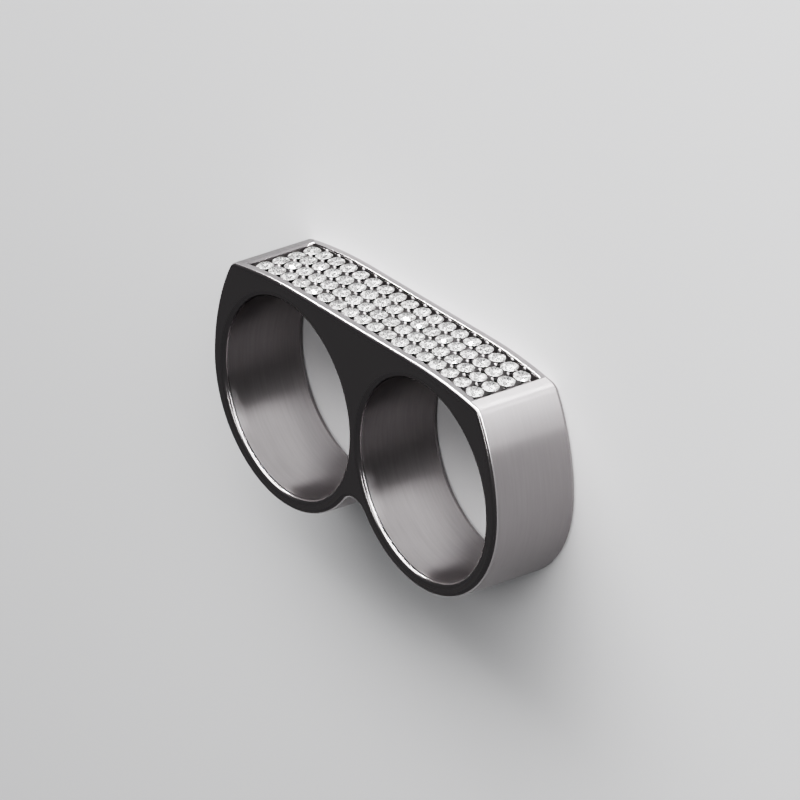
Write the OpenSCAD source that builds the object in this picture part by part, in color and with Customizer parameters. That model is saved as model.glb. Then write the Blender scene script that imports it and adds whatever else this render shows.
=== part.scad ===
// Two finger ring: two joined hoops under a straight top bar with a tray of set stones.
// The ring lies on its side: X runs along the bar, Y points at the stones, Z along the finger holes.

/* [Hoops] */
// Inside diameter of each finger hole
finger_d = 19; // [15:0.1:23]
// Metal between the two finger holes where they are closest
hole_gap = 1.5; // [1:0.1:4]
// Height of the ring along the finger
ring_depth = 9; // [5:0.1:14]
// Thickness of the hoop under the finger
base_wall = 1.3; // [0.8:0.05:3]
// How far the round outline of a hoop sits above its finger hole
hoop_lift = 0.3; // [0:0.05:1.5]
// Radius of the notch between the two hoops
notch_r = 2.2; // [1:0.1:4]

/* [Top bar] */
// Metal above the finger holes, up to the middle of the bar
bar_wall = 1.8; // [1.6:0.05:4]
// Length of the straight middle of the bar
flat_len = 18; // [4:0.5:24]
// Radius of the two ends of the bar, where its top bends down
arch_r = 50; // [30:1:200]
// Radius of the side of the ring, from the hoop up to the corner of the bar
shoulder_r = 20; // [14:0.5:40]
// Radius of the corner between the top and the side
corner_r = 1.3; // [1.1:0.1:2]

/* [Edges] */
// Bevel on the outer edges
edge_bevel = 0.3; // [0.1:0.05:0.5]
// Bevel on the rims of the finger holes
rim_bevel = 0.3; // [0.1:0.05:0.5]

/* [Stones] */
// Stones along the bar
columns = 18; // [6:1:18]
// Rows of stones across the bar
rows = 4; // [2:1:5]
// Spacing of the stones along the bar
column_pitch = 1.87; // [1.7:0.01:2.2]
// Spacing of the rows
row_pitch = 1.74; // [1.6:0.01:2.2]
// Diameter of a stone at its girdle
stone_d = 1.62; // [1:0.01:2]
// Width of the flat table of a stone, corner to corner
table_d = 0.9; // [0.6:0.01:1.2]
// Height of the crown, from girdle to table
crown_h = 0.21; // [0.15:0.01:0.35]
// Thickness of the girdle
girdle_h = 0.06; // [0.03:0.01:0.1]
// Depth of the cut under the girdle
pavilion_h = 0.6; // [0.4:0.01:0.65]
// Width of the small flat at the bottom of a stone
culet_d = 0.26; // [0.1:0.01:0.5]
// Depth of the tables below the frame of the tray
table_drop = 0; // [0:0.01:0.2]

/* [Tray] */
// Depth of the tray floor below the top of the bar
tray_depth = 1; // [0.8:0.05:1.2]
// Room between the outer rows and the long walls of the tray
side_room = 0.15; // [0.1:0.01:0.5]
// Room between the last columns and the ends of the tray
end_room = 0.45; // [0.1:0.01:1]
// Width of a setting bead at the tray floor
bead_d = 0.5; // [0.3:0.01:0.6]
// Width of a setting bead at its tip
bead_tip_d = 0.26; // [0.1:0.01:0.4]
// Depth of the bead tips below the frame of the tray
bead_drop = 0.1; // [0.05:0.01:0.4]
// How far the beads along the long walls stand back into them
bead_sink = 0.04; // [0.02:0.01:0.1]

/* [Hidden] */
$fn = 96;
overlap = 0.2;
finger_r = finger_d / 2;
hoop_r = finger_r + base_wall + hoop_lift;
bar_top = finger_r + bar_wall;
hole_x = finger_r + hole_gap / 2;
flat_half = flat_len / 2;
stone_r = stone_d / 2;
bead_h = tray_depth - bead_drop;
// Width of the bevelled strips that carry the outline, and how far the plain core reaches into them
strip = corner_r - overlap;
inset = strip / 2;
// The corner runs on by some degrees inside the strips beside it, and stands over them by a hair
run_on = 8;
seam = 0.005;
// Slides the outline so that the ring stands over the middle of its own footprint
slide_y = (hoop_r - hoop_lift - bar_top) / 2;
tray_half = (columns - 1) / 2 * column_pitch + stone_r + end_room;
tray_w = (rows - 1) * row_pitch + stone_d + 2 * side_room;
tray_low = (ring_depth - tray_w) / 2;

function polar(r, a) = [r * cos(a), r * sin(a)];
function heading(a, b) = atan2(b[1] - a[1], b[0] - a[0]);
// Where a circle about a crosses one about b, on the left of the way from a to b
function meet(a, ra, b, rb) =
    let (d = norm(b - a), turn = acos((ra * ra + d * d - rb * rb) / (2 * ra * d)))
    a + polar(ra, heading(a, b) + turn);
function arc(m, r, from, to, steps) =
    [for (i = [0 : steps]) m + polar(r, from + (to - from) * i / steps)];

// Centres of the arcs on the right half of the outline, each tangent to the next
hoop_m = [hole_x, hoop_lift];
shoulder_m = [hole_x + hoop_r - shoulder_r, hoop_lift];
arch_m = [flat_half, bar_top - arch_r];
corner_m = meet(shoulder_m, shoulder_r - corner_r, arch_m, arch_r - corner_r);
notch_m = [0, hoop_lift - sqrt(pow(hoop_r + notch_r, 2) - hole_x * hole_x)];
// Headings at which one arc hands over to the next
arch_end = heading(arch_m, corner_m);
shoulder_end = heading(shoulder_m, corner_m);
hoop_end = heading(hoop_m, notch_m);

// Cut of a strip of metal up to the outer line at r, bevelled on both sides; out is -1 for a hollow arc
function strip_cut(r, out = 1, deep = strip) = [
    [r - out * deep, 0],
    [r - out * edge_bevel, 0],
    [r, edge_bevel],
    [r, ring_depth - edge_bevel],
    [r - out * edge_bevel, ring_depth],
    [r - out * deep, ring_depth]
];

module swept(m, from, to)
    translate([m[0], m[1], 0])
        rotate_extrude(angle = to - from, start = from)
            children();

// Puts something on the top line of the bar, s along the bar from its middle, its own Y pointing out
module on_bar(s) {
    past = max(abs(s) - flat_half, 0);
    side = sign(s);
    if (past > 0)
        translate([side * flat_half, bar_top - arch_r, 0])
            rotate([0, 0, -side * past / arch_r * 180 / PI])
                translate([0, arch_r, 0])
                    children();
    else
        translate([s, bar_top, 0])
            children();
}

module core() {
    half = concat(
        [[0, 0], [0, bar_top - inset]],
        arc(arch_m, arch_r - inset, 90, arch_end, 6),
        arc(corner_m, corner_r - inset, arch_end, shoulder_end, 6),
        arc(shoulder_m, shoulder_r - inset, shoulder_end, 0, 12),
        arc(hoop_m, hoop_r - inset, 0, hoop_end, 40),
        arc(notch_m, notch_r + inset, hoop_end + 180, 90, 10)
    );
    linear_extrude(ring_depth)
        for (side = [0, 1])
            mirror([side, 0])
                polygon(half);
}

module outline_strips() {
    for (side = [0, 1])
        mirror([side, 0, 0]) {
            swept(arch_m, arch_end, 90)
                polygon(strip_cut(arch_r));
            swept(corner_m, shoulder_end - run_on, arch_end + run_on)
                polygon(strip_cut(corner_r + seam, 1, corner_r + seam));
            swept(shoulder_m, 0, shoulder_end)
                polygon(strip_cut(shoulder_r));
            swept(hoop_m, hoop_end, 0)
                polygon(strip_cut(hoop_r));
        }
    swept(notch_m, hoop_end + 180, -hoop_end)
        polygon(strip_cut(notch_r, -1));
    translate([-flat_half, 0, 0])
        rotate([90, 0, 90])
            linear_extrude(flat_len)
                polygon(strip_cut(bar_top));
}

module finger_hole() {
    translate([0, 0, -overlap])
        cylinder(r = finger_r, h = ring_depth + 2 * overlap);
    for (face = [0, 1])
        translate([0, 0, face * ring_depth])
            mirror([0, 0, face])
                translate([0, 0, -overlap])
                    cylinder(
                        r1 = finger_r + rim_bevel + overlap,
                        r2 = finger_r,
                        h = rim_bevel + overlap
                    );
}

module tray_hollow() {
    past = (tray_half - flat_half) / arch_r * 180 / PI;
    translate([-flat_half, bar_top - tray_depth, tray_low])
        cube([flat_len, tray_depth + overlap, tray_w]);
    for (side = [0, 1])
        mirror([side, 0, 0])
            swept(arch_m, 90 - past, 90)
                translate([arch_r - tray_depth, tray_low])
                    square([tray_depth + overlap, tray_w]);
}

module bead()
    rotate([-90, 0, 0])
        translate([0, 0, -tray_depth - overlap])
            cylinder(
                r1 = bead_d / 2 + (bead_d - bead_tip_d) / 2 * overlap / bead_h,
                r2 = bead_tip_d / 2,
                h = bead_h + overlap
            );

// One bead between each four stones, and one on each long wall between two stones
module beads()
    for (i = [1 : columns - 1])
        on_bar((i - columns / 2) * column_pitch)
            for (j = [0 : rows])
                translate([0, 0, bead_z(j)])
                    bead();

function row_z(j) = ring_depth / 2 + (j - (rows - 1) / 2) * row_pitch;
function bead_z(j) =
    j == 0 ? tray_low - bead_sink :
    j == rows ? tray_low + tray_w + bead_sink :
    row_z(j - 0.5);

module ring_body()
    color("silver")
        translate([0, slide_y, 0]) {
            difference() {
                union() {
                    core();
                    outline_strips();
                }
                for (side = [-1, 1])
                    translate([side * hole_x, 0, 0])
                        finger_hole();
                tray_hollow();
            }
            beads();
        }

// Points of one cut stone: table, both edges of the girdle, culet
function ring_of(r, y, n, turn) = [for (i = [0 : n - 1]) [
    r * cos((i + turn) * 360 / n),
    y,
    r * sin((i + turn) * 360 / n)
]];

module stone() {
    high = -table_drop - crown_h;
    low = high - girdle_h;
    points = concat(
        ring_of(table_d / 2, -table_drop, 8, 0),
        ring_of(stone_r, high, 16, 0),
        ring_of(stone_r, low, 16, 0),
        ring_of(culet_d / 2, low - pavilion_h, 8, 0)
    );
    faces = concat(
        [[for (i = [0 : 7]) i]],
        [for (i = [0 : 7]) each [
            [i, 8 + 2 * i, 9 + 2 * i],
            [i, 9 + 2 * i, (i + 1) % 8],
            [(i + 1) % 8, 9 + 2 * i, 8 + (2 * i + 2) % 16]
        ]],
        [for (i = [0 : 15]) [8 + i, 24 + i, 24 + (i + 1) % 16, 8 + (i + 1) % 16]],
        [for (i = [0 : 7]) each [
            [24 + 2 * i, 40 + i, 25 + 2 * i],
            [25 + 2 * i, 40 + i, 40 + (i + 1) % 8],
            [25 + 2 * i, 40 + (i + 1) % 8, 24 + (2 * i + 2) % 16]
        ]],
        [[for (i = [7 : -1 : 0]) 40 + i]]
    );
    polyhedron(points, faces);
}

module stones()
    color("white")
        translate([0, slide_y, 0])
            for (i = [0 : columns - 1])
                on_bar((i - (columns - 1) / 2) * column_pitch)
                    for (j = [0 : rows - 1])
                        translate([0, 0, row_z(j)])
                            stone();

ring_body();
stones();
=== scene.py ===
import bpy
import bmesh
import math
import numpy as np
from mathutils import Matrix, Vector
from mathutils.geometry import delaunay_2d_cdt


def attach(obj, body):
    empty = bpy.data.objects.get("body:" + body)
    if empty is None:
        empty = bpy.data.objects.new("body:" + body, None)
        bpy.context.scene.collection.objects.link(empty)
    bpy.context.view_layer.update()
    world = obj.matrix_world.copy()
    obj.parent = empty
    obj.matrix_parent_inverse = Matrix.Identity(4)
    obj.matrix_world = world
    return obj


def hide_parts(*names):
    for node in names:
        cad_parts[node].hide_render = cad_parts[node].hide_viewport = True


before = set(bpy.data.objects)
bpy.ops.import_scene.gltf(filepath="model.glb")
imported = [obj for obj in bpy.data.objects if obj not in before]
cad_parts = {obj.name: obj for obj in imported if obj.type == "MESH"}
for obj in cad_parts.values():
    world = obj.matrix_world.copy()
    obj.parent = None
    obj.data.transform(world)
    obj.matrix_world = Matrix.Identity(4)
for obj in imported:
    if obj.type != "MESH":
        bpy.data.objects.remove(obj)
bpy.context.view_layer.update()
mm = 0.001
print("frame loaded, nodes:", sorted(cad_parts))


def hexColour(text):
    # sRGB hex to linear: the lower part is a straight line, the rest a 2.4 power
    s = np.array([int(text[i:i + 2], 16) for i in (1, 3, 5)]) / 255
    lin = np.where(s <= 0.04045, s / 12.92, ((s + 0.055) / 1.055) ** 2.4)
    return (*lin.tolist(), 1.0)


def addNode(tree, kind, inputs={}, **settings):
    # a value is set on its socket, an output socket is linked to it
    node = tree.nodes.new(kind)
    for key, value in settings.items():
        setattr(node, key, value)
    for key, value in inputs.items():
        if isinstance(value, bpy.types.NodeSocket):
            tree.links.new(value, node.inputs[key])
        else:
            node.inputs[key].default_value = value
    return node


def startMaterial(name):
    mat = bpy.data.materials.new(name)
    mat.use_nodes = True
    tree = mat.node_tree
    tree.nodes.clear()
    return mat, tree


def finishMaterial(tree, shader):
    addNode(tree, "ShaderNodeOutputMaterial", {"Surface": shader.outputs["BSDF"]})


# the ring itself, in millimetres, the same sizes as its CAD node
ringSettings = {
    "fingerRadius": 9.5,
    "holeGap": 1.5,
    "depth": 9.0,
    "baseWall": 1.3,
    "hoopLift": 0.3,
    "notchRadius": 2.2,
    "barWall": 1.8,
    "flatLength": 18.0,
    "archRadius": 50.0,
    "shoulderRadius": 20.0,
    "cornerRadius": 1.3,
    "outerRound": 0.4,   # rounding of the outer edges
    "rimRound": 0.5,     # rounding of the rims, at 45 degrees as deep as the source's 0.3 bevel
    "hold": 0.04,        # narrow strip beside a rounding, keeps flat faces flat in the shading
    "roundSteps": 6,
    "outlineStep": 0.35,
    "cornerStep": 0.09,
    "boreSteps": 240,
    "boreLevels": (7, 2, 6),   # from, to and number of the bore wall's inner levels
}

# material numbers on the ring, in the order of steelFinishes below
wallSide, boreSide, flatSide, traySide, beadSide, edgeSide = range(6)

# the sunk field that holds the stones
traySettings = {
    "halfLength": 17.155,
    "width": 7.14,
    "depth": 1.0,
    "lipRound": 0.2,     # rounding of the tray's upper edge
    "floorRound": 0.1,
    "lipSteps": 4,
    "rows": 8,
}


def arcRun(centre, radius, fromDeg, toDeg, step, hollow=False):
    # point = centre + radius (cos a, sin a), a running evenly from one heading to the other;
    # the normal is (cos a, sin a), turned round on a hollow arc
    count = max(3, math.ceil(abs(toDeg - fromDeg) * math.pi / 180 * radius / step))
    a = np.radians(np.linspace(fromDeg, toDeg, count + 1))
    n = np.stack([np.cos(a), np.sin(a)], axis=1)
    return centre + radius * n, -n if hollow else n


def headingOf(a, b):
    return math.degrees(math.atan2(b[1] - a[1], b[0] - a[0]))


r = ringSettings
hoopRadius = r["fingerRadius"] + r["baseWall"] + r["hoopLift"]
barTop = r["fingerRadius"] + r["barWall"]
holeX = r["fingerRadius"] + r["holeGap"] / 2
flatHalf = r["flatLength"] / 2
slideY = (hoopRadius - r["hoopLift"] - barTop) / 2   # the footprint's middle is the origin


def outlineCentres():
    # each arc is tangent to the next, so the corner's centre stands where two circles cross,
    # drawn about the neighbours' centres with their radii less the corner's
    hoop = np.array([holeX, r["hoopLift"]])
    shoulder = np.array([holeX + hoopRadius - r["shoulderRadius"], r["hoopLift"]])
    arch = np.array([flatHalf, barTop - r["archRadius"]])
    ra, rb = r["shoulderRadius"] - r["cornerRadius"], r["archRadius"] - r["cornerRadius"]
    d = np.linalg.norm(arch - shoulder)
    turn = math.acos((ra ** 2 + d ** 2 - rb ** 2) / (2 * ra * d))
    a = math.radians(headingOf(shoulder, arch)) + turn
    corner = shoulder + ra * np.array([math.cos(a), math.sin(a)])
    notchDrop = math.sqrt((hoopRadius + r["notchRadius"]) ** 2 - holeX ** 2)
    notch = np.array([0.0, r["hoopLift"] - notchDrop])
    return hoop, shoulder, arch, corner, notch


def barPoint(s, depth):
    # s runs along the top line of the bar from its middle; past the straight part the line
    # turns round the arch centre, so the angle is (|s| - half the straight part) / arch radius
    past = np.maximum(np.abs(s) - flatHalf, 0)
    a = past / r["archRadius"]
    x = np.where(past > 0, flatHalf, np.abs(s)) + (r["archRadius"] - depth) * np.sin(a)
    y = barTop - r["archRadius"] + (r["archRadius"] - depth) * np.cos(a)
    return np.stack([np.sign(s) * x, y], axis=-1)


def outlineHalf(trayEnd):
    # right half of the outline, from the middle of the bar round to the notch, with its normals;
    # the arch is cut where the tray ends, so that both share their corner points
    hoop, shoulder, arch, corner, notch = outlineCentres()
    archEnd, shoulderEnd = headingOf(arch, corner), headingOf(shoulder, corner)
    hoopEnd = headingOf(hoop, notch)
    step, fine = r["outlineStep"], r["cornerStep"]
    cut = 90 - math.degrees((trayEnd - flatHalf) / r["archRadius"])
    flatX = np.linspace(0, flatHalf, math.ceil(flatHalf / step) + 1)
    runs = [
        (np.stack([flatX, np.full_like(flatX, barTop)], axis=1), np.tile([0.0, 1.0], (len(flatX), 1))),
        arcRun(arch, r["archRadius"], 90, cut, step),
        arcRun(arch, r["archRadius"], cut, archEnd, step / 2),
        arcRun(corner, r["cornerRadius"], archEnd, shoulderEnd, fine),
        arcRun(shoulder, r["shoulderRadius"], shoulderEnd, 0, step),
        arcRun(hoop, hoopRadius, 0, hoopEnd, step),
        arcRun(notch, r["notchRadius"], hoopEnd + 180, 90, step / 2, hollow=True),
    ]
    trayCount = len(runs[0][0]) - 1 + len(runs[1][0]) - 1
    points = np.concatenate([runs[0][0]] + [p[1:] for p, n in runs[1:]])
    normals = np.concatenate([runs[0][1]] + [n[1:] for p, n in runs[1:]])
    return points, normals, trayCount


def gridQuads(rowCount, columnCount, closeRows=False, keep=None):
    # quads of a grid of rowCount by columnCount points, row by row
    i, j = np.meshgrid(
        np.arange(rowCount if closeRows else rowCount - 1), np.arange(columnCount - 1), indexing="ij"
    )
    k = (i + 1) % rowCount
    quads = np.stack(
        [i * columnCount + j, i * columnCount + j + 1, k * columnCount + j + 1, k * columnCount + j],
        axis=-1,
    )
    return quads[keep] if keep is not None else quads.reshape(-1, 4)


def roundedEdge(radius, steps):
    # quarter circle from a flat face to the wall: (distance in from the wall, drop below the face)
    t = np.linspace(0, math.pi / 2, steps + 1)
    return np.stack([radius * (1 - np.sin(t)), radius * (1 - np.cos(t))], axis=1)


def wallSection(radius, levels, wallMaterial):
    # the whole cut of a wall from the upper face round to the lower one, as (inset, height), with
    # a material number for each strip between two points
    top = roundedEdge(radius, r["roundSteps"])
    hold = r["hold"]
    upper = np.concatenate([[[radius + hold, 0]], top, [[0, radius + hold]]])
    upper = np.stack([upper[:, 0], r["depth"] - upper[:, 1]], axis=1)
    lower = np.stack([upper[::-1, 0], r["depth"] - upper[::-1, 1]], axis=1)
    middle = np.stack([np.zeros(len(levels)), levels], axis=1)
    ends = [flatSide] + [edgeSide] * r["roundSteps"]
    wallStrips = len(levels) + 3   # between the two ends of the roundings, both holds and the levels
    strips = ends + [wallMaterial] * wallStrips + ends[::-1]
    return np.concatenate([upper, middle, lower]), np.array(strips)


def solidMesh(name, blocks, smooth, weldAt):
    # a block is (points, parts), a part (faces of one corner count, material number or one a face);
    # each corner's number is raised by the points of the blocks before its own, and points that
    # no face uses are left out
    offsets = np.cumsum([0] + [len(points) for points, parts in blocks])
    parts = [(f + o, m) for (points, own), o in zip(blocks, offsets) for f, m in own]
    used, corners = np.unique(np.concatenate([f.ravel() for f, m in parts]), return_inverse=True)
    points = np.concatenate([points for points, own in blocks])[used] * mm
    sizes = np.concatenate([np.full(len(f), f.shape[1]) for f, m in parts])
    mats = np.concatenate([np.broadcast_to(m, len(f)) for f, m in parts])
    mesh = bpy.data.meshes.new(name)
    mesh.vertices.add(len(points))
    mesh.vertices.foreach_set("co", points.ravel().astype(np.float32))
    mesh.loops.add(len(corners))
    mesh.loops.foreach_set("vertex_index", corners.ravel().astype(np.int32))
    mesh.polygons.add(len(sizes))
    mesh.polygons.foreach_set("loop_start", (np.cumsum(sizes) - sizes).astype(np.int32))
    mesh.polygons.foreach_set("material_index", mats.astype(np.int32))
    mesh.polygons.foreach_set("use_smooth", np.full(len(sizes), smooth))
    mesh.update(calc_edges=True)
    # blocks meet in points of the same place, which become one
    bm = bmesh.new()
    bm.from_mesh(mesh)
    bmesh.ops.remove_doubles(bm, verts=bm.verts, dist=weldAt)
    bmesh.ops.recalc_face_normals(bm, faces=bm.faces)
    bm.to_mesh(mesh)
    bm.free()
    obj = bpy.data.objects.new(name, mesh)
    bpy.context.collection.objects.link(obj)
    return obj


def faceFill(outer, holes, z, up):
    # the flat face between the outline and the two holes, as triangles between their points
    loops = [outer] + holes
    starts = np.cumsum([0] + [len(l) for l in loops])
    edges = np.concatenate([
        np.stack([np.arange(len(l)), (np.arange(len(l)) + 1) % len(l)], axis=1) + s
        for l, s in zip(loops, starts)
    ])
    flat = np.concatenate(loops)
    made = delaunay_2d_cdt(list(map(Vector, flat.tolist())), edges.tolist(), [], 0, 1e-9)
    points, tris = np.array(made[0]), np.array(made[2])
    middle = points[tris].mean(axis=1)
    keep = insideLoop(middle, outer)
    for hole in holes:
        keep &= ~insideLoop(middle, hole)
    tris = tris[keep] if up else tris[keep, ::-1]
    return np.column_stack([points, np.full(len(points), z)]), [(tris, flatSide)]


def insideLoop(points, loop):
    # a point is inside where a line to its right crosses the loop an odd number of times
    a, b = loop, np.roll(loop, -1, axis=0)
    px, py = points[:, None, 0], points[:, None, 1]
    spans = (a[None, :, 1] > py) != (b[None, :, 1] > py)
    rise = np.where(b[:, 1] == a[:, 1], 1e-12, b[:, 1] - a[:, 1])
    crossX = a[None, :, 0] + (py - a[None, :, 1]) / rise[None, :] * (b[:, 0] - a[:, 0])[None, :]
    return (spans & (px < crossX)).sum(axis=1) % 2 == 1


def buildRing():
    t = traySettings
    lip = t["lipRound"]
    openHalf = t["halfLength"] + lip
    low = (r["depth"] - t["width"]) / 2 - lip
    high = r["depth"] - low
    hold = r["hold"]
    inside = np.linspace(high, low, t["rows"] + 1)
    levels = np.concatenate([[high + hold], inside, [low - hold]])
    half, halfNormals, trayCount = outlineHalf(openHalf)
    points = np.concatenate([half, half[-2:0:-1] * [-1, 1]])
    normals = np.concatenate([halfNormals, halfNormals[-2:0:-1] * [-1, 1]])
    points[:, 1] += slideY
    section, strips = wallSection(r["outerRound"], levels, wallSide)
    # outer wall: outline point less the normal times the inset, at the section's height
    count, cut = len(points), len(section)
    wall = np.empty((count, cut, 3))
    wall[..., :2] = points[:, None, :] - normals[:, None, :] * section[None, :, :1]
    wall[..., 2] = section[None, :, 1]
    keep = np.ones((count, cut - 1), bool)
    first = r["roundSteps"] + 4   # the section's point at the tray's upper edge
    onTray = np.arange(count)
    onTray = (onTray < trayCount) | (onTray >= count - trayCount)
    keep[np.ix_(onTray, np.arange(first, first + t["rows"]))] = False
    # the frame beside the tray is polished with the edges
    wallMats = np.broadcast_to(strips, keep.shape).copy()
    wallMats[onTray] = np.where(wallMats[onTray] == wallSide, edgeSide, wallMats[onTray])
    blocks = [(wall.reshape(-1, 3), [(gridQuads(count, cut, True, keep), wallMats[keep])])]
    # both flat faces
    edgeTop = wall[:, 0, :2]
    boreAngle = np.linspace(0, 2 * math.pi, r["boreSteps"], endpoint=False)
    ringOf = np.stack([np.cos(boreAngle), np.sin(boreAngle)], axis=1)
    boreCut, strips = wallSection(r["rimRound"], np.linspace(*r["boreLevels"]), boreSide)
    boreMats = np.tile(strips, len(ringOf))
    rims = []
    for side in (-1, 1):
        centre = np.array([side * holeX, slideY])
        # finger hole: centre + (radius + inset) (cos a, sin a), at the section's height
        bore = np.empty((len(ringOf), len(boreCut), 3))
        reach = r["fingerRadius"] + boreCut[:, 0]
        bore[..., :2] = centre + ringOf[:, None, :] * reach[None, :, None]
        bore[..., 2] = boreCut[None, :, 1]
        rims.append(bore[:, 0, :2])
        boreFaces = gridQuads(len(ringOf), len(boreCut), True)[:, ::-1]
        blocks.append((bore.reshape(-1, 3), [(boreFaces, boreMats)]))
    blocks.append(faceFill(edgeTop, rims, r["depth"], True))
    blocks.append(faceFill(edgeTop, rims, 0.0, False))
    blocks += trayBlocks(points[np.r_[count - trayCount:count, 0:trayCount + 1]], inside, openHalf)
    blocks.append(beadBlock())
    return solidMesh("ringBody", blocks, True, 1e-7)


def trayBlocks(topLine, inside, openHalf):
    # the tray's walls are loops round its opening: each loop is the opening drawn in to its own
    # half length and half width, at its own depth; the floor is the same grid at full depth
    t = traySettings
    lip, foot, hold = t["lipRound"], t["floorRound"], r["hold"]
    middle = r["depth"] / 2
    s = np.sign(topLine[:, 0]) * np.where(
        np.abs(topLine[:, 0]) <= flatHalf,
        np.abs(topLine[:, 0]),
        flatHalf + r["archRadius"] * np.arcsin(
            np.clip((np.abs(topLine[:, 0]) - flatHalf) / r["archRadius"], 0, 1)
        ),
    )
    s[0], s[-1] = -openHalf, openHalf
    z = inside - middle
    top = np.stack([s, np.full_like(s, z[0])], axis=1)
    right = np.stack([np.full_like(z, s[-1]), z], axis=1)
    bottom, left = (top * [1, -1])[::-1], (right * [-1, 1])[::-1]
    loop = np.concatenate([top[:-1], right[:-1], bottom[:-1], left[:-1]])
    a = np.linspace(0, math.pi / 2, t["lipSteps"] + 1)
    lipCut = np.stack([lip - lip * np.sin(a), lip - lip * np.cos(a)], axis=1)
    footCut = np.stack([foot * np.cos(a) - foot, t["depth"] - foot + foot * np.sin(a)], axis=1)
    cut = np.concatenate([
        lipCut,
        [[0, lip + hold], [0, t["depth"] - foot - hold]],
        footCut,
        [[-foot - hold, t["depth"]]],
    ])
    halfWide = t["width"] / 2
    scaleS = (t["halfLength"] + cut[:, 0]) / openHalf
    scaleZ = (halfWide + cut[:, 0]) / (halfWide + lip)
    loops = np.empty((len(loop), len(cut), 3))
    xy = barPoint(loop[:, None, 0] * scaleS[None, :], cut[None, :, 1])
    loops[..., :2] = xy
    loops[..., 2] = middle + loop[:, None, 1] * scaleZ[None, :]
    floorGrid = np.empty((len(s), len(z), 3))
    floorGrid[..., :2] = barPoint(s * scaleS[-1], t["depth"])[:, None, :]
    floorGrid[..., 2] = middle + (z * scaleZ[-1])[None, :]
    loops[..., 1] += slideY
    floorGrid[..., 1] += slideY
    strips = [edgeSide] * (len(lipCut) - 1) + [traySide] * (len(cut) - len(lipCut))
    return [
        (loops.reshape(-1, 3), [(gridQuads(len(loop), len(cut), True), np.tile(strips, len(loop)))]),
        (floorGrid.reshape(-1, 3), [(gridQuads(len(s), len(z)), traySide)]),
    ]


# the raised metal that holds the stones
beadSettings = {
    "footRadius": 0.3,
    "tipRadius": 0.22,
    "tipDrop": 0.1,
    "sink": 0.04,        # centres of the outer beads stand this far inside the long walls
    "root": 0.05,        # how far a bead reaches below the tray floor
    "sides": 10,
    "domeSteps": 3,
}

# the field of stones, in millimetres
stoneSettings = {
    "columns": 18,
    "rows": 4,
    "columnPitch": 1.87,
    "rowPitch": 1.74,
    "girdleRadius": 0.81,
    "tableRadius": 0.45,
    "starReach": 0.5,    # how far the star facets reach from table to girdle
    "crown": 0.21,
    "girdle": 0.05,
    "pavilion": 0.62,
    "lowerReach": 0.3,   # radius where the lower girdle facets end, as a part of the girdle's
    "turnSpread": 45,
    "tiltSpread": 1.2,   # degrees; hand-set stones never sit quite level
    "seed": 7,
    "foilGap": 0.008,    # the dark coat lies this far outside the stone's foil
    "coat": 0.02,
    "coatPoint": 0.05,   # radius of the coat's hole at the point of the stone
    "coatSides": 16,
    "leanLimit": 0.05,   # radians
}

# material numbers on the stones, in the order of stoneFinishes below
clearSide, smoothSide, mattSide, coatSide = range(4)


def placeOnBar(local, s, z):
    # local points are (along the bar, out of it, across it); each copy is carried to the bar's
    # top line at s and turned with it, then slid across by z
    past = np.sign(s) * np.maximum(np.abs(s) - flatHalf, 0) / r["archRadius"]
    c, n = np.cos(past)[:, None], np.sin(past)[:, None]
    foot = barPoint(s, 0.0)
    x = foot[:, :1] + local[..., 0] * c + local[..., 1] * n
    y = foot[:, 1:] - local[..., 0] * n + local[..., 1] * c + slideY
    return np.stack([x, y, z[:, None] + local[..., 2]], axis=-1)


def turned(radius, height, sides):
    # a profile of (radius, height) turned about the out axis: (radius cos a, height, radius sin a)
    a = np.linspace(0, 2 * math.pi, sides, endpoint=False)
    x, z = np.outer(np.cos(a), radius), np.outer(np.sin(a), radius)
    return np.stack([x, np.tile(height, (sides, 1)), z], axis=-1).reshape(-1, 3)


def copied(faces, count, size):
    # faces of one piece repeated for its copies, copy k using the points from k times size on
    return (faces[None] + np.arange(count)[:, None, None] * size).reshape(-1, faces.shape[1])


def rowHeights():
    g = stoneSettings
    return r["depth"] / 2 + (np.arange(g["rows"]) - (g["rows"] - 1) / 2) * g["rowPitch"]


def beadBlock():
    # profile of one bead: a cone from the floor, closed by a round tip; it is turned about its axis
    b, g, t = beadSettings, stoneSettings, traySettings
    a = np.linspace(0, math.pi / 2, b["domeSteps"] + 1)[:-1]
    tipBase, foot = -b["tipDrop"] - b["tipRadius"], -t["depth"] - b["root"]
    radius = np.concatenate([[b["footRadius"]], b["tipRadius"] * np.cos(a)])
    height = np.concatenate([[foot], tipBase + b["tipRadius"] * np.sin(a)])
    bead = np.concatenate([turned(radius, height, b["sides"]), [[0, -b["tipDrop"], 0], [0, foot, 0]]])
    s = (np.arange(1, g["columns"]) - g["columns"] / 2) * g["columnPitch"]
    z = np.concatenate([rowHeights() - g["rowPitch"] / 2, [0]])
    z[0] = (r["depth"] - t["width"]) / 2 - b["sink"]
    z[-1] = r["depth"] - z[0]
    s, z = [v.ravel() for v in np.meshgrid(s, z, indexing="ij")]
    points = placeOnBar(np.broadcast_to(bead, (len(s), *bead.shape)), s, z)
    levels, sides = len(radius), b["sides"]
    side = gridQuads(sides, levels, True)[:, ::-1]
    last, k = sides * levels, np.arange(sides)
    foots, nextFoots = k * levels, (k + 1) % sides * levels
    tip = np.stack([foots + levels - 1, nextFoots + levels - 1, np.full(sides, last)], axis=1)
    base = np.stack([nextFoots, foots, np.full(sides, last + 1)], axis=1)
    caps = np.concatenate([tip, base])[:, ::-1]
    return points.reshape(-1, 3), [(copied(f, len(s), len(bead)), beadSide) for f in (side, caps)]


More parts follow.
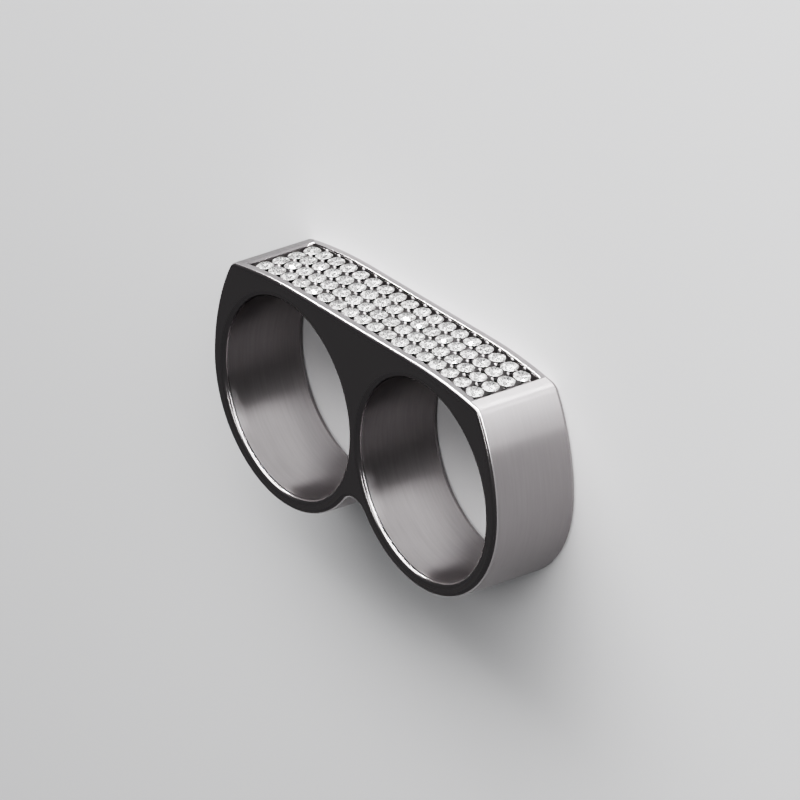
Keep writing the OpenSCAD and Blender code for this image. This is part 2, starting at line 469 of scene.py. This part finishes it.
def brilliant():
    # one round brilliant, (along, out, across): table, star tips, girdle twice, lower tips, culet;
    # the star and lower tips lie in the planes of the eight main facets beside them
    g = stoneSettings
    eight, sixteen = np.radians(np.arange(8) * 45), np.radians(np.arange(16) * 22.5)
    between = eight + math.radians(22.5)
    part = math.cos(math.radians(22.5))
    girdle, table = g["girdleRadius"], g["tableRadius"]
    star = table * part + g["starReach"] * (girdle - table * part)
    starDrop = g["crown"] * (star * part - table) / (girdle - table)
    lower = g["lowerReach"] * girdle
    floor = g["crown"] + g["girdle"]
    lowerDrop = floor + g["pavilion"] * (1 - lower * part / girdle)
    rings = [
        (table, 0.0, eight), (star, starDrop, between), (girdle, g["crown"], sixteen),
        (girdle, floor, sixteen), (lower, lowerDrop, between),
    ]
    points = np.concatenate([
        np.stack([q * np.cos(a), np.full(len(a), -d), q * np.sin(a)], axis=1) for q, d, a in rings
    ] + [[[0, -floor - g["pavilion"], 0]]])
    k = np.arange(8)
    nextK, j, nextJ, farJ = (k + 1) % 8, 2 * k, (2 * k + 1) % 16, (2 * k + 2) % 16
    t, st, gu, gl, lo, cu = 0, 8, 16, 32, 48, 56   # first point of each ring, and the culet
    i = np.arange(16)
    nextI = (i + 1) % 16
    return points, [
        (k[None], clearSide),
        (np.stack([t + k, t + nextK, st + k], axis=1), clearSide),
        (np.stack([t + k, st + k, gu + j, st + (k - 1) % 8], axis=1), clearSide),
        (np.stack([st + k, gu + nextJ, gu + j], axis=1), clearSide),
        (np.stack([st + k, gu + farJ, gu + nextJ], axis=1), clearSide),
        (np.stack([gu + i, gu + nextI, gl + nextI, gl + i], axis=1), clearSide),
        (np.stack([lo + k, gl + j, gl + nextJ], axis=1), mattSide),
        (np.stack([lo + k, gl + nextJ, gl + farJ], axis=1), mattSide),
        (np.stack([np.full(8, cu), lo + (k - 1) % 8, gl + j, lo + k], axis=1), smoothSide),
    ]


def coatShell():
    # the dark coat over the foil, which hides the foil from outside; its near-black is painted shade between
    # the stones. It is a thin closed cone round the back of the stone; its cut is a loop of four points,
    # inner and outer at the girdle and near the point, turned about the axis
    g = stoneSettings
    top, bottom = -g["crown"] - g["girdle"], -g["crown"] - g["girdle"] - g["pavilion"]
    near, far = g["foilGap"], g["foilGap"] + g["coat"]
    wide, point = g["girdleRadius"], g["coatPoint"]
    radius = np.array([wide + near, wide + far, point + far, point])
    height = np.array([top, top, bottom - far, bottom - near])
    i, j = np.meshgrid(np.arange(g["coatSides"]), np.arange(4), indexing="ij")
    k, l = (i + 1) % g["coatSides"], (j + 1) % 4
    faces = np.stack([i * 4 + j, i * 4 + l, k * 4 + l, k * 4 + j], axis=-1).reshape(-1, 4)
    return turned(radius, height, g["coatSides"]), faces


def buildStones():
    g = stoneSettings
    points, parts = brilliant()
    coatPoints, coat = coatShell()
    parts.append((coat + len(points), coatSide))
    points = np.concatenate([points, coatPoints])
    s = (np.arange(g["columns"]) - (g["columns"] - 1) / 2) * g["columnPitch"]
    s, z = [v.ravel() for v in np.meshgrid(s, rowHeights(), indexing="ij")]
    rng = np.random.default_rng(g["seed"])
    turn = np.radians(rng.uniform(0, g["turnSpread"], len(s)))
    tilt = np.radians(rng.normal(0, g["tiltSpread"], (len(s), 2))).clip(-g["leanLimit"], g["leanLimit"])
    # each copy: turned about its own axis, then leant by two small angles about the girdle's middle
    x = points[:, 0] * np.cos(turn)[:, None] - points[:, 2] * np.sin(turn)[:, None]
    w = points[:, 0] * np.sin(turn)[:, None] + points[:, 2] * np.cos(turn)[:, None]
    h = np.broadcast_to(points[:, 1], x.shape)
    lean = x * tilt[:, :1] + w * tilt[:, 1:]
    sink = np.abs(tilt).sum(axis=1, keepdims=True) * g["tableRadius"]
    local = np.stack([x, h + lean - sink, w], axis=-1)
    placed = placeOnBar(local, s, z).reshape(-1, 3)
    parts = [(copied(f, len(s), len(points)), m) for f, m in parts]
    return solidMesh("stoneField", [(placed, parts)], False, 1e-9)


# finishes of the stainless steel, AISI 316, one to each side of the ring. run draws the brushing out
# along X, Y or Z where it is under 1, bump is its depth in millimetres, grain how far its fine lines
# fan a reflection out across them, towards Z, and lines how far they lighten and darken the steel
steelFinishes = {
    # ground along the band: soft light and dark fields that end across it
    "stainlessSteelLineFinish": {
        "colour": "#9C9899", "roughness": 0.28, "spread": 0.003, "bump": 0.0001,
        "run": (0.05, 0.05, 1), "grain": 1.0, "lines": 0.03,
    },
    # brushed round inside the finger holes: a broad shine, drawn out in fine lines
    "stainlessSteelBrushed": {
        "colour": "#9C9899", "roughness": 0.43, "spread": 0.04, "bump": 0.003,
        "run": (0.06, 0.06, 1), "grain": 0.97, "lines": 0.06,
    },
    # rubbed flat along the bar: an even, slightly veiled mirror
    "stainlessSteelSatin": {
        "colour": "#9C9899", "roughness": 0.3, "spread": 0.008, "bump": 0.0003,
        "run": (0.08, 1, 1), "grain": 0.0, "lines": 0.0,
    },
    # as cast: dull; its steel is darker than the band's, painted shade for the recess between the stones
    "stainlessSteelCastPaintedShade": {
        "colour": "#747171", "roughness": 0.42, "spread": 0.06, "bump": 0.004,
        "run": (1, 1, 1), "grain": 0.0, "lines": 0.0,
    },
    # pressed over the stones by a beading tool: small soft highlights; its steel is darker than the band's,
    # painted shade for the recess between the stones
    "stainlessSteelBeads": {
        "colour": "#8A8787", "roughness": 0.32, "spread": 0.05, "bump": 0.002,
        "run": (1, 1, 1), "grain": 0.0, "lines": 0.0,
    },
    # buffed edges, rims and frame: thin clear lines of light
    "stainlessSteelPolished": {
        "colour": "#9C9899", "roughness": 0.2, "spread": 0.012, "bump": 0.0002,
        "run": (1, 1, 1), "grain": 0.0, "lines": 0.0,
    },
}

# sizes of the patterns in the steel, in millimetres
grainSettings = {
    "lineSpacing": 0.22,     # brushing is really 0.02; drawn as coarse as it needs to show
    "cloudSize": 6.0,
    "lineShare": 0.45,       # the rest of the change in roughness is cloud
    "noiseRange": (0.3, 0.7),
}


def steelMaterial(name, finish):
    g = grainSettings
    rough, spread, lines = finish["roughness"], finish["spread"], finish["lines"]
    low, high = g["noiseRange"]
    mat, tree = startMaterial(name)
    coords = addNode(tree, "ShaderNodeTexCoord")
    along = addNode(tree, "ShaderNodeMapping", {
        "Vector": coords.outputs["Object"], "Scale": [v / mm / g["lineSpacing"] for v in finish["run"]],
    })
    brushing = addNode(tree, "ShaderNodeTexNoise", {
        "Vector": along.outputs["Vector"], "Scale": 1.0, "Detail": 3.0,
    })
    cloud = addNode(tree, "ShaderNodeTexNoise", {
        "Vector": coords.outputs["Object"], "Scale": 1 / mm / g["cloudSize"], "Detail": 2.0,
    })
    mixed = addNode(tree, "ShaderNodeMix", {
        "Factor": g["lineShare"], "A": cloud.outputs["Fac"], "B": brushing.outputs["Fac"],
    })
    roughness = addNode(tree, "ShaderNodeMapRange", {
        "Value": mixed.outputs["Result"], "From Min": low, "From Max": high,
        "To Min": rough - spread, "To Max": rough + spread,
    })
    height = addNode(tree, "ShaderNodeBump", {
        "Height": brushing.outputs["Fac"], "Strength": 1.0, "Distance": finish["bump"] * mm,
    })
    tint, tone = np.array(hexColour(finish["colour"])), np.array([lines] * 3 + [0])
    colour = addNode(tree, "ShaderNodeMix", {
        "Factor": brushing.outputs["Fac"],
        "A": (tint * (1 - 2 * tone)).tolist(), "B": (tint * (1 + 2 * tone)).tolist(),
    }, data_type="RGBA")
    shader = addNode(tree, "ShaderNodeBsdfPrincipled", {
        "Base Color": colour.outputs["Result"], "Metallic": 1.0,
        "Anisotropic": finish["grain"], "Anisotropic Rotation": 0.25,
        "Roughness": roughness.outputs["Result"], "Normal": height.outputs["Normal"],
    })
    finishMaterial(tree, shader)
    return mat


# finishes of the stones, one to each side of them
stoneFinishes = {
    # cubic zirconia, cut and polished: high IOR, so bright facets and dark marks side by side
    "cubicZirconiaPolished": {
        "Base Color": "#FFFFFF", "Roughness": 0.0, "IOR": 2.16, "Transmission Weight": 1.0,
    },
    # silver foil, pressed smooth on the main back facets: throws the light back out of the table
    "silverFoilSmooth": {"Base Color": "#F6F5F4", "Metallic": 1.0, "Roughness": 0.12},
    # the same foil, left a little matt on the small facets beside the girdle: softer, greyer light
    "silverFoilMatt": {"Base Color": "#F6F5F4", "Metallic": 1.0, "Roughness": 0.28},
    # dark coat over the foil: its near-black is painted shade, the thin dark lines between the stones
    "foilCoatPaintedShade": {"Base Color": "#171513", "Roughness": 0.45},
}

# matt card, a pale neutral sheet with a very fine tooth: no shine, soft shadows
floorFinish = {"Base Color": "#DADADB", "Roughness": 0.7, "Specular IOR Level": 0.2}


def plainMaterial(name, finish):
    mat, tree = startMaterial(name)
    inputs = {**finish, "Base Color": hexColour(finish["Base Color"])}
    finishMaterial(tree, addNode(tree, "ShaderNodeBsdfPrincipled", inputs))
    return mat


print("ring body")
ring = buildRing()
for name, finish in steelFinishes.items():
    ring.data.materials.append(steelMaterial(name, finish))

print("stones")
stones = buildStones()
for name, finish in stoneFinishes.items():
    stones.data.materials.append(plainMaterial(name, finish))

for piece, slotName in ((ring, "steel"), (stones, "stone")):
    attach(piece, "root")
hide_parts("ring_body")
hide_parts("stones")


# camera: the photograph's view of the ring, turned with it as it lies on its side; back points at
# the camera and right along the picture, lengths in millimetres
cameraSettings = {
    "back": (0.7225, 0.4432, 0.5306),
    "right": (0.5919, 0.0, -0.8060),
    "aim": (0.0, -0.25, 4.5),
    "moveRight": 0.643,
    "moveUp": 2.386,
    "distance": 1500.0,
    "lens": 753.2,
}


def buildCamera():
    c = cameraSettings
    back, right = Vector(c["back"]).normalized(), Vector(c["right"]).normalized()
    up = back.cross(right).normalized()
    right = up.cross(back).normalized()
    place = Vector(c["aim"]) + right * c["moveRight"] + up * c["moveUp"] + back * c["distance"]
    data = bpy.data.cameras.new("photoCamera")
    data.lens = c["lens"]
    data.sensor_width = 36.0
    data.clip_start, data.clip_end = 0.1, 10.0
    obj = bpy.data.objects.new("photoCamera", data)
    turn = Matrix((right, up, back)).transposed().to_4x4()
    obj.matrix_world = Matrix.Translation(place * mm) @ turn
    bpy.context.collection.objects.link(obj)
    bpy.context.scene.camera = obj


# soft boxes, all aimed at the ring: azimuth from X towards Y and height above the floor in
# degrees, distance, width and height in metres, power in watts. The low ones light the side walls
# and hardly the floor, mid the bores, key the front edge of the bar, rim the other front edges
lightSettings = {
    "keyBox": {"azimuth": 136, "height": 2.6, "distance": 0.55, "size": (0.08, 0.04), "power": 1.2},
    "midBox": {"azimuth": 82, "height": 28, "distance": 0.5, "size": (1.12, 0.2), "power": 6.5},
    "lowRightBox": {"azimuth": 30, "height": 3, "distance": 0.4, "size": (0.3, 0.04), "power": 0.85},
    "foldBox": {
        "azimuth": 62, "height": 1.6, "distance": 0.4, "size": (0.8, 0.02), "power": 3.4, "shape": "ELLIPSE",
    },
    "lowBackBox": {"azimuth": 101, "height": 1.6, "distance": 0.4, "size": (0.46, 0.02), "power": 5.5},
    "rimBox": {"azimuth": 33.7, "height": 59.6, "distance": 0.5, "size": (0.3, 0.04), "power": 0.4},
}
worldSettings = {"colour": "#F2F2F4", "strength": 0.15, "look": "AgX - High Contrast"}


def buildLights():
    # each box stands at distance (cos h cos a, cos h sin a, sin h) and faces the ring, its width level
    for name, l in lightSettings.items():
        data = bpy.data.lights.new(name, "AREA")
        data.shape = l.get("shape", "RECTANGLE")
        data.energy = l["power"]
        data.size, data.size_y = l["size"]
        a, h = math.radians(l["azimuth"]), math.radians(l["height"])
        back = Vector((math.cos(h) * math.cos(a), math.cos(h) * math.sin(a), math.sin(h)))
        right = Vector((-math.sin(a), math.cos(a), 0))
        obj = bpy.data.objects.new(name, data)
        turn = Matrix((right, back.cross(right), back)).transposed().to_4x4()
        obj.matrix_world = Matrix.Translation(back * l["distance"]) @ turn
        bpy.context.collection.objects.link(obj)
    world = bpy.data.worlds.new("studio")
    world.use_nodes = True
    sky = world.node_tree.nodes["Background"]
    sky.inputs["Color"].default_value = hexColour(worldSettings["colour"])
    sky.inputs["Strength"].default_value = worldSettings["strength"]
    bpy.context.scene.world = world
    bpy.context.scene.view_settings.look = worldSettings["look"]


def buildFloor():
    half = 1.5
    corners = [(-half, -half, 0), (half, -half, 0), (half, half, 0), (-half, half, 0)]
    mesh = bpy.data.meshes.new("paleFloor")
    mesh.from_pydata(corners, [], [(0, 1, 2, 3)])
    obj = bpy.data.objects.new("paleFloor", mesh)
    mesh.materials.append(plainMaterial("paleCardMatt", floorFinish))
    bpy.context.collection.objects.link(obj)


print("camera, lights and floor")
buildCamera()
buildLights()
buildFloor()

print("done")
